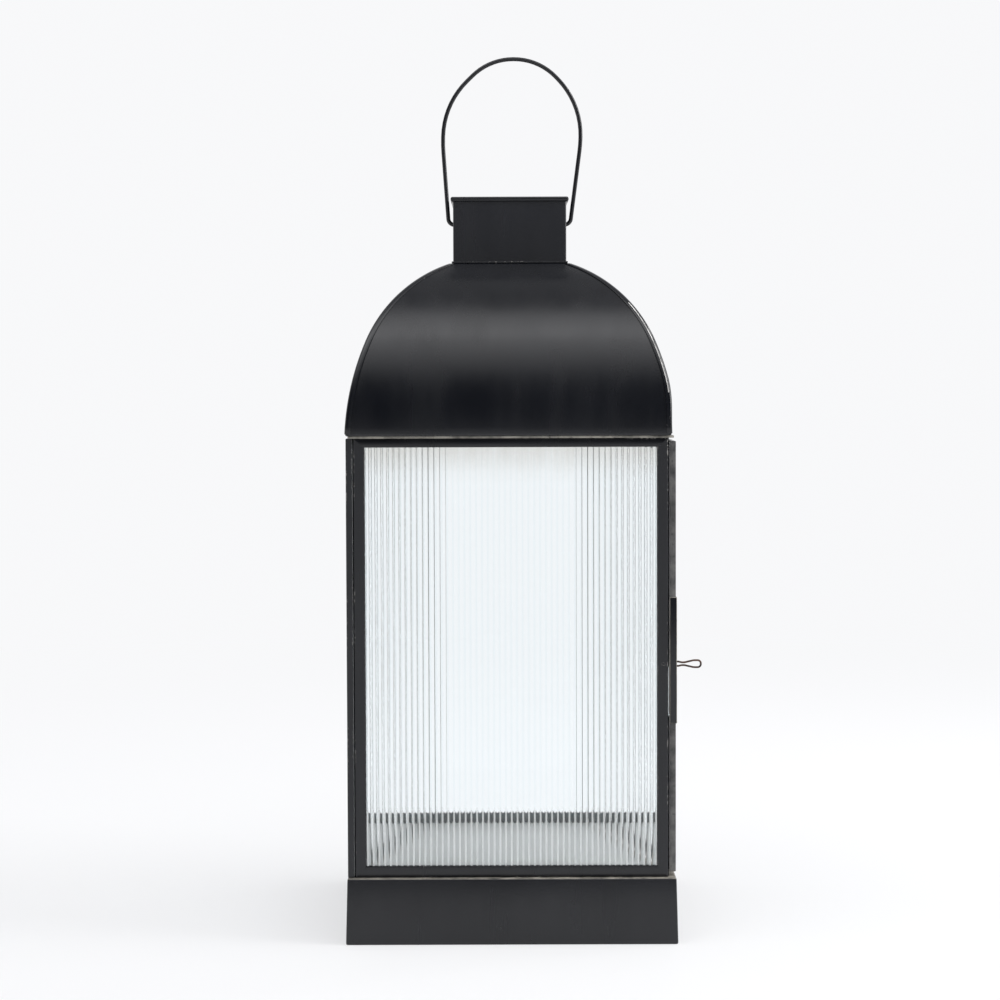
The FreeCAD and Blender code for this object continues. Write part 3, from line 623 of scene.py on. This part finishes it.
def makeFrame(node, body, degrees):
    low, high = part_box(node)
    size = facing(-degrees).to_3x3() @ (high - low)
    width, deep, tall = abs(size.x), abs(size.y), size.z
    middle = facing(-degrees) @ ((low + high) / 2)
    inner = middle.y + deep / 2
    bottom, top = middle.z - tall / 2, middle.z + tall / 2
    leftX, rightX = middle.x - width / 2, middle.x + width / 2
    right, up = Vector((1, 0, 0)), Vector((0, 0, 1))
    stile, topRail, bottomRail = channel["stile"], channel["topRail"], channel["bottomRail"]
    bars = [
        ("bottomRail", width, bottomRail, stile, stile, (middle.x, inner, bottom), right, up),
        ("topRail", width, topRail, stile, stile, (middle.x, inner, top), -right, -up),
        ("leftStile", tall, stile, topRail, bottomRail, (leftX, inner, middle.z), -up, right),
        ("rightStile", tall, stile, bottomRail, topRail, (rightX, inner, middle.z), up, -right),
    ]
    made = []
    for name, length, wide, first, last, corner, along, inward in bars:
        bar = makeBar(f"{node}_{name}", length, wide, deep, first, last)
        placeMesh(bar, barMatrix(degrees, corner, along, inward))
        made.append(bar)
    pick(made[0])
    for bar in made[1:]:
        bar.select_set(True)
    bpy.ops.object.join()
    piece = bpy.context.object
    piece.name = node + "_bars"
    smoothBy(piece, 35)
    for face in piece.data.polygons:
        place = facing(-degrees) @ face.center
        aside = abs(place.x - middle.x)
        if abs(place.y - inner) < channel["touch"]:
            face.material_index = stileSlot if aside > width / 2 - stile else railSlot
        # faces in the gaps beside the front and rear frames get the painted shade
        elif degrees % 180 == 0 and abs(aside - width / 2) < channel["touch"]:
            face.material_index = gapSlot
        # the door frame's front faces get lighter paint, partly a painted highlight along their fold
        elif node == "door_frame" and face.normal.y < -0.7:
            face.material_index = doorEdgeSlot
    dress(piece, body, "black_paint", frameFinish, node)


sides = [("front", "lantern", 0), ("rear", "lantern", 180), ("left", "lantern", -90), ("door", "door", 90)]
for sideName, sideBody, sideTurn in sides:
    makeFrame(sideName + "_frame", sideBody, sideTurn)


# strips of painted shade that close the gaps beside the front frame, dark where the gaps lie in shadow; the
# right one is open just below the latch pull

filler = {"leftLow": -94.78 * mm, "leftHigh": -94.22 * mm, "rightLow": 94.22 * mm, "rightHigh": 94.62 * mm,
          "openFrom": 137 * mm, "openTo": 167 * mm, "front": 2 * mm, "back": 4.6 * mm, "bevel": 0.1 * mm}


def makeFiller(name, lowX, highX, low, high):
    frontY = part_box("front_frame")[0].y
    piece = addBlock(name, (lowX, frontY + filler["front"], low), (highX, frontY + filler["back"], high))
    applyModifier(piece, "BEVEL", width=filler["bevel"], segments=1)
    dress(piece, "lantern", "black_paint", (gapPaintedShade,))


frameLow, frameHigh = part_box("front_frame")
makeFiller("filler_left", filler["leftLow"], filler["leftHigh"], frameLow.z, frameHigh.z)
makeFiller("filler_right_low", filler["rightLow"], filler["rightHigh"], frameLow.z, filler["openFrom"])
makeFiller("filler_right_high", filler["rightLow"], filler["rightHigh"], filler["openTo"], frameHigh.z)
print("frames made")


# reeded panes: a wave of round ribs and valleys outside, flat inside

pane = {"pitch": 3.5 * mm, "slope": math.radians(27), "flank": 0.15 * mm, "steps": 6,
        "valleyShare": 0.34}


def makeRib(name, left, frontY, low, high, pitch):
    slope = pane["slope"]
    flank = pane["flank"]
    radius = (pitch / 2 - flank * math.cos(slope)) / (2 * math.sin(slope))
    piece = addEdge(name, (left, frontY, low), (left, frontY, high))
    openEdit(piece, "EDGE")
    bpy.ops.mesh.select_all(action="SELECT")
    place = Vector((left, frontY, 0))
    for start, turn, straight in ((0, slope, flank), (slope, -2 * slope, flank), (-slope, slope, 0)):
        heading = Vector((math.cos(start), math.sin(start), 0))
        side = Vector((-heading.y, heading.x, 0)) * math.copysign(radius, turn)
        steps = pane["steps"] * round(abs(turn) / slope)
        bpy.ops.mesh.spin(steps=steps, angle=-turn, center=place + side, axis=(0, 0, 1))
        end = start + turn
        place += side + Matrix.Rotation(turn, 3, "Z") @ -side
        if straight:
            run = Vector((math.cos(end), math.sin(end), 0)) * straight
            bpy.ops.mesh.extrude_region_move(TRANSFORM_OT_translate={"value": run})
            place += run
    closeEdit()
    return piece


def makePane(node, body, degrees):
    low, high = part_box(node)
    size = facing(-degrees).to_3x3() @ (high - low)
    width, deep, tall = abs(size.x), abs(size.y), size.z
    middle = facing(-degrees) @ ((low + high) / 2)
    count = round(width / pane["pitch"])
    pitch = width / count
    left = middle.x - width / 2
    piece = makeRib(node + "_reeded", left, middle.y - deep / 2, low.z, high.z, pitch)
    applyModifier(piece, "ARRAY", count=count, use_relative_offset=False, use_constant_offset=True,
                  constant_offset_displace=(pitch, 0, 0), use_merge_vertices=True, merge_threshold=0.00002)
    openEdit(piece)
    bpy.ops.mesh.select_all(action="SELECT")
    back = middle.y + deep / 2
    bpy.ops.mesh.extrude_region_move(TRANSFORM_OT_translate={"value": (0, deep, 0)})
    bpy.ops.transform.resize(value=(1, 0, 1), center_override=(0, back, 0))
    closeEdit()
    turnOutwards(piece)
    finish = frontGlass if degrees == 0 else otherGlass
    for material in finish:
        piece.data.materials.append(material)
    for face in piece.data.polygons:
        phase = (face.center.x - left) / pitch % 1
        if face.normal.y < -0.5 and abs(phase - 0.5) < pane["valleyShare"] / 2:
            face.material_index = 1
    placeMesh(piece, facing(degrees))
    smoothBy(piece, 30)
    dress(piece, body, "reeded_glass", finish, node)


for sideName, sideBody, sideTurn in sides:
    makePane(sideName + "_glass", sideBody, sideTurn)
print("panes made")


# roof: four curved sheets with folded eaves, strips over the ridges

roof = {"sheet": 0.8 * mm, "eaveFold": 1.2 * mm, "flange": 8 * mm, "eaveHalf": 98.7 * mm,
        "lowerRadius": 165 * mm, "upperRadius": 86 * mm, "startLean": 2.5, "lowerTurn": 20.0,
        "neckHalf": 35 * mm, "seamWide": 3.2 * mm, "seamThick": 0.6 * mm, "seamStop": 2.3 * mm,
        "overhang": 2 * mm, "seamBevel": 0.25 * mm, "ridgeRound": 1.3 * mm, "highlightFrom": 0.5,
        "highlightTo": 0.9, "highlightLow": 331 * mm, "highlightHigh": 386 * mm, "pinch": 2.8 * mm,
        "pinchFrom": 60 * mm, "pinchTall": 34 * mm}


def spinStep(piece, degrees, centre, steps):
    bpy.ops.mesh.spin(steps=steps, angle=-math.radians(degrees), center=centre, axis=(1, 0, 0))


def roofCentres(eaveLevel):
    lean = math.radians(roof["startLean"])
    turn = math.radians(roof["startLean"] + roof["lowerTurn"])
    low = Vector((0, roof["eaveHalf"] - roof["lowerRadius"] * math.cos(lean),
                  eaveLevel - roof["lowerRadius"] * math.sin(lean)))
    reach = roof["lowerRadius"] - roof["upperRadius"]
    high = low + Vector((0, reach * math.cos(turn), reach * math.sin(turn)))
    return low, high, turn


def curvedSheet(name, eaveLevel, across, topHalf, withFlange):
    low, high, turn = roofCentres(eaveLevel)
    last = math.acos((topHalf - high.y) / roof["upperRadius"])
    if withFlange:
        level = eaveLevel - roof["eaveFold"]
        startY = roof["eaveHalf"] - roof["eaveFold"] - roof["flange"]
    else:
        level = eaveLevel
        startY = low.y + roof["lowerRadius"] * math.cos(math.radians(roof["startLean"]))
    piece = addEdge(name, (-across, startY, level), (across, startY, level))
    openEdit(piece, "EDGE")
    bpy.ops.mesh.select_all(action="SELECT")
    if withFlange:
        bpy.ops.mesh.extrude_region_move(TRANSFORM_OT_translate={"value": (0, roof["flange"], 0)})
        fold = (0, roof["eaveHalf"] - roof["eaveFold"], eaveLevel)
        spinStep(piece, 90 + roof["startLean"], fold, 6)
    spinStep(piece, roof["lowerTurn"], low, 14)
    spinStep(piece, math.degrees(last - turn), high, 32)
    closeEdit()
    return piece


def cutSheet(piece, place, normal):
    openEdit(piece)
    bpy.ops.mesh.select_all(action="SELECT")
    bpy.ops.mesh.bisect(plane_co=place, plane_no=normal, clear_outer=True, clear_inner=False,
                        use_fill=False, threshold=0.000001)
    closeEdit()


def faceAwayFrom(piece, centre):
    total = sum((face.center - centre).dot(face.normal) * face.area for face in piece.data.polygons)
    if total < 0:
        openEdit(piece)
        bpy.ops.mesh.select_all(action="SELECT")
        bpy.ops.mesh.flip_normals()
        closeEdit()


def pinchEave(piece, eaveLevel):
    for vertex in piece.data.vertices:
        outward = (vertex.co.x - roof["pinchFrom"]) / (roof["eaveHalf"] - roof["pinchFrom"])
        lowness = 1 - (vertex.co.z - eaveLevel) / roof["pinchTall"]
        outward = max(0, min(1, outward))
        lowness = max(0, min(1, lowness))
        vertex.co.x -= roof["pinch"] * outward ** 2 * lowness ** 2 * (3 - 2 * lowness)


def makeRoof():
    low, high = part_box("roof_rear")
    eaveLevel = low.z + roof["eaveFold"]
    inside = Vector((0, 0, eaveLevel))
    across = roof["eaveHalf"] + roof["overhang"]
    for name, degrees in (("rear", 0), ("left", 90), ("front", 180), ("right", 270)):
        piece = curvedSheet(f"roof_{name}_sheet", eaveLevel, across, roof["neckHalf"], True)
        cutSheet(piece, (0, 0, 0), (1, -1, 0))
        cutSheet(piece, (0, 0, 0), (-1, -1, 0))
        faceAwayFrom(piece, inside)
        applyModifier(piece, "SOLIDIFY", thickness=roof["sheet"], offset=-1, use_even_offset=True)
        placeMesh(piece, facing(degrees))
        pinchEave(piece, eaveLevel)
        smoothBy(piece, 35)
        dress(piece, "lantern", "black_paint", blackFinish, "roof_" + name)
    seamTop = roof["neckHalf"] + roof["seamStop"]
    for name, degrees in (("rear_right", 0), ("rear_left", 90), ("front_left", 180), ("front_right", 270)):
        piece = curvedSheet(f"ridge_{name}", eaveLevel, across, seamTop, False)
        cutSheet(piece, (0, 0, 0), (1, -1, 0))
        cutSheet(piece, (-roof["seamWide"], 0, 0), (-1, 1, 0))
        other = piece.copy()
        other.data = piece.data.copy()
        bpy.context.scene.collection.objects.link(other)
        swap = Matrix(((0, 1, 0, 0), (1, 0, 0, 0), (0, 0, 1, 0), (0, 0, 0, 1)))
        placeMesh(other, swap)
        pick(piece)
        other.select_set(True)
        bpy.ops.object.join()
        openEdit(piece)
        bpy.ops.mesh.select_all(action="SELECT")
        bpy.ops.mesh.remove_doubles(threshold=0.00002)
        bpy.ops.mesh.normals_make_consistent(inside=False)
        closeEdit()
        faceAwayFrom(piece, inside)
        for material in ridgeFinish:
            piece.data.materials.append(material)
        openEdit(piece, "EDGE")
        selectWhere(piece, "edges", lambda edge: all(abs(vertex.co.x - vertex.co.y) < 0.02 * mm
                                                     for vertex in edge.verts))
        bpy.ops.mesh.bevel(offset=roof["ridgeRound"], segments=5, affect="EDGES", material=1)
        closeEdit()
        applyModifier(piece, "SOLIDIFY", thickness=roof["seamThick"], offset=1, use_even_offset=True)
        applyModifier(piece, "BEVEL", width=roof["seamBevel"], segments=2, limit_method="ANGLE",
                      angle_limit=math.radians(50), material=1)
        # painted highlight: part of the front right ridge's rounding, between two heights, gets light paint
        # standing in for the light line it catches
        for face in piece.data.polygons:
            outward = max(face.normal.x + face.normal.y, 0.01)
            lean = (face.normal.x - face.normal.y) / outward
            wornAndLit = roof["highlightFrom"] < lean < roof["highlightTo"]
            if name == "front_right" and wornAndLit and roof["highlightLow"] < face.center.z < roof["highlightHigh"]:
                face.material_index = 2
        placeMesh(piece, facing(degrees))
        pinchEave(piece, eaveLevel)
        smoothBy(piece, 35)
        dress(piece, "lantern", "black_paint", (*ridgeFinish, ridgePaintedHighlight), "roof_seam_" + name)


makeRoof()
print("roof made")


# chimney: folded square tube with a hole each side for the handle

chimney = {"sheet": 0.8 * mm, "fold": 1.1 * mm, "holeRadius": 1.38 * mm, "pivotLevel": 437 * mm}


def makeChimney():
    low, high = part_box("chimney")
    piece = addBlock("chimney_tube", low, high)
    openEdit(piece)
    selectWhere(piece, "faces", lambda face: abs(face.normal.z) > 0.9)
    bpy.ops.mesh.delete(type="FACE")
    bpy.ops.mesh.select_mode(type="EDGE")
    selectWhere(piece, "edges", lambda edge: abs(edge.verts[0].co.z - edge.verts[1].co.z) > 1 * mm)
    bpy.ops.mesh.bevel(offset=chimney["fold"], segments=4, affect="EDGES", material=1)
    closeEdit()
    applyModifier(piece, "SOLIDIFY", thickness=chimney["sheet"], offset=-1, use_even_offset=True)
    deselectAll()
    bpy.ops.mesh.primitive_cylinder_add(vertices=32, radius=chimney["holeRadius"], depth=high.x * 2.4,
                                        location=(0, 0, chimney["pivotLevel"]), rotation=(0, math.pi / 2, 0))
    drill = bpy.context.object
    applyModifier(piece, "BOOLEAN", object=drill, operation="DIFFERENCE", solver="EXACT")
    bpy.data.objects.remove(drill)
    smoothBy(piece, 35)
    dress(piece, "lantern", "black_paint", chimneyFinish, "chimney")


makeChimney()
softenNode("chimney_rim", "lantern", "black_paint", blackFinish, brokenEdge["rim"], 4)
softenNode("neck_collar", "lantern", "black_paint", blackFinish, brokenEdge["collar"], 3,
           reach=brokenEdge["collarReach"])
# the crown ring's front and lower faces get light worn paint that also paints the light its edge catches
# under the eave's shade
softenNode("crown_ring", "lantern", "black_paint", rubbedAndLitFinish, brokenEdge["crownRing"], 3,
           wornAndLit=lambda face: face.normal.z < 0.2)
softenNode("floor_plate", "lantern", "galvanised_sheet", (zinc,), brokenEdge["floorPlate"], 2)
print("chimney and rings made")


# bent wires

def ringEnds(piece, path):
    for start in path:
        selectWhere(piece, "verts", lambda vertex: (vertex.co - start).length < 2 * mm
                    and vertex.is_boundary)
        bpy.ops.mesh.edge_face_add()


def makeWire(name, corners, bends, radius, facets, stepTurn=8):
    deselectAll()
    path = [Vector(corner) for corner in corners]
    ahead = (path[1] - path[0]).normalized()
    bpy.ops.mesh.primitive_circle_add(vertices=facets, radius=radius, location=path[0],
                                      rotation=ahead.to_track_quat("Z", "Y").to_euler())
    piece = bpy.context.object
    piece.name = name
    piece.data.name = name
    applyPlace(piece)
    openEdit(piece, "EDGE")
    bpy.ops.mesh.select_all(action="SELECT")
    place = path[0]
    for before, corner, after, bend in zip(path, path[1:], path[2:], bends):
        ahead = (corner - before).normalized()
        following = (after - corner).normalized()
        turn = ahead.angle(following)
        axis = ahead.cross(following).normalized()
        start = corner - ahead * bend * math.tan(turn / 2)
        bpy.ops.mesh.extrude_region_move(TRANSFORM_OT_translate={"value": start - place})
        bpy.ops.mesh.spin(steps=max(2, round(math.degrees(turn) / stepTurn)), angle=-turn,
                          center=start + axis.cross(ahead) * bend, axis=axis)
        place = corner + following * bend * math.tan(turn / 2)
    bpy.ops.mesh.extrude_region_move(TRANSFORM_OT_translate={"value": path[-1] - place})
    ringEnds(piece, (path[0], path[-1]))
    closeEdit()
    turnOutwards(piece)
    smoothBy(piece, 40)
    return piece


bail = {"wire": 1.3 * mm, "pivot": 437 * mm, "hook": 31 * mm, "hookDrop": 6 * mm, "foot": 38.3 * mm,
        "legTop": 43.3 * mm, "legTopLevel": 487 * mm, "shoulderDrop": 27.8 * mm, "crownHalf": 15.5 * mm,
        "crown": 540.8 * mm, "lean": 0.03, "bends": (1.6 * mm, 4 * mm, 90 * mm, 50 * mm, 36.5 * mm)}


def makeBail():
    half = [(bail["hook"], bail["pivot"] - bail["hookDrop"]), (bail["hook"], bail["pivot"]),
            (bail["foot"], bail["pivot"]), (bail["legTop"], bail["legTopLevel"]),
            (bail["legTop"], bail["crown"] - bail["shoulderDrop"]), (bail["crownHalf"], bail["crown"])]
    outline = [(-x, z) for x, z in half] + [(x, z) for x, z in reversed(half)]
    corners = [(x + bail["lean"] * max(z - bail["pivot"], 0), 0, z) for x, z in outline]
    piece = makeWire("bail", corners, bail["bends"] + bail["bends"][::-1], bail["wire"], 16, 5)
    dress(piece, "handle_body", "black_paint", blackFinish, "handle")


pull = {"wire": 0.58 * mm, "long": 14.4 * mm, "halfTall": 2.1 * mm, "level": 168.8 * mm,
        "footHalf": 1.3 * mm, "stub": 0.9 * mm, "pinchHalf": 0.85 * mm, "pinchFrom": 2.9 * mm,
        "pinchTo": 4.6 * mm, "widens": 10 * mm,
        "bends": (0.8 * mm, 1.4 * mm, 2.5 * mm, 5.0 * mm, 1.93 * mm)}


def makePull():
    low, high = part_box("latch_pull")
    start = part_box("latch_plate")[1].x
    frontY = (low.y + high.y) / 2
    half = [(start, pull["footHalf"]), (start + pull["stub"], pull["footHalf"]),
            (start + pull["pinchFrom"], pull["pinchHalf"]), (start + pull["pinchTo"], pull["pinchHalf"]),
            (start + pull["widens"], pull["halfTall"]), (start + pull["long"], pull["halfTall"])]
    outline = half + [(x, -z) for x, z in reversed(half)]
    corners = [Vector((x, frontY, pull["level"] + z)) for x, z in outline]
    piece = makeWire("pull_loop", corners, pull["bends"] + pull["bends"][::-1], pull["wire"], 12, 10)
    dress(piece, "door", "brown_wire", (brownWire,), "latch_pull")


makeBail()
makePull()
print("wires made")

for quarter in ("front_left", "front_right", "rear_right", "rear_left"):
    postFinish = (thinPaint,) if quarter.startswith("rear") else blackFinish
    softenNode("post_" + quarter, "lantern", "black_paint", postFinish, brokenEdge["post"], 2)
# the latch plate's broken edges get the light ledge paint, a painted gleam along them
softenNode("latch_plate", "door", "black_paint", (blackFinish[0], ledgePaint), brokenEdge["latchPlate"], 3)
softenNode("catch_spring", "lantern", "bare_steel", (steel,), brokenEdge["catchSpring"], 2)
# the rivet's broken edge gets light worn paint, a painted glint on its head
softenNode("catch_rivet", "lantern", "bare_steel", rubbedAndLitFinish, brokenEdge["catchRivet"], 2)
for level in ("lower", "upper"):
    for body, leaf in (("lantern", "frame_leaf"), ("door", "door_leaf")):
        softenNode(f"hinge_{level}_{leaf}", body, "black_paint", blackFinish, brokenEdge["hingeLeaf"], 2)
    softenNode(f"hinge_{level}_pin", "lantern", "bare_steel", (steel,), brokenEdge["hingePin"], 2)
print("fittings made")
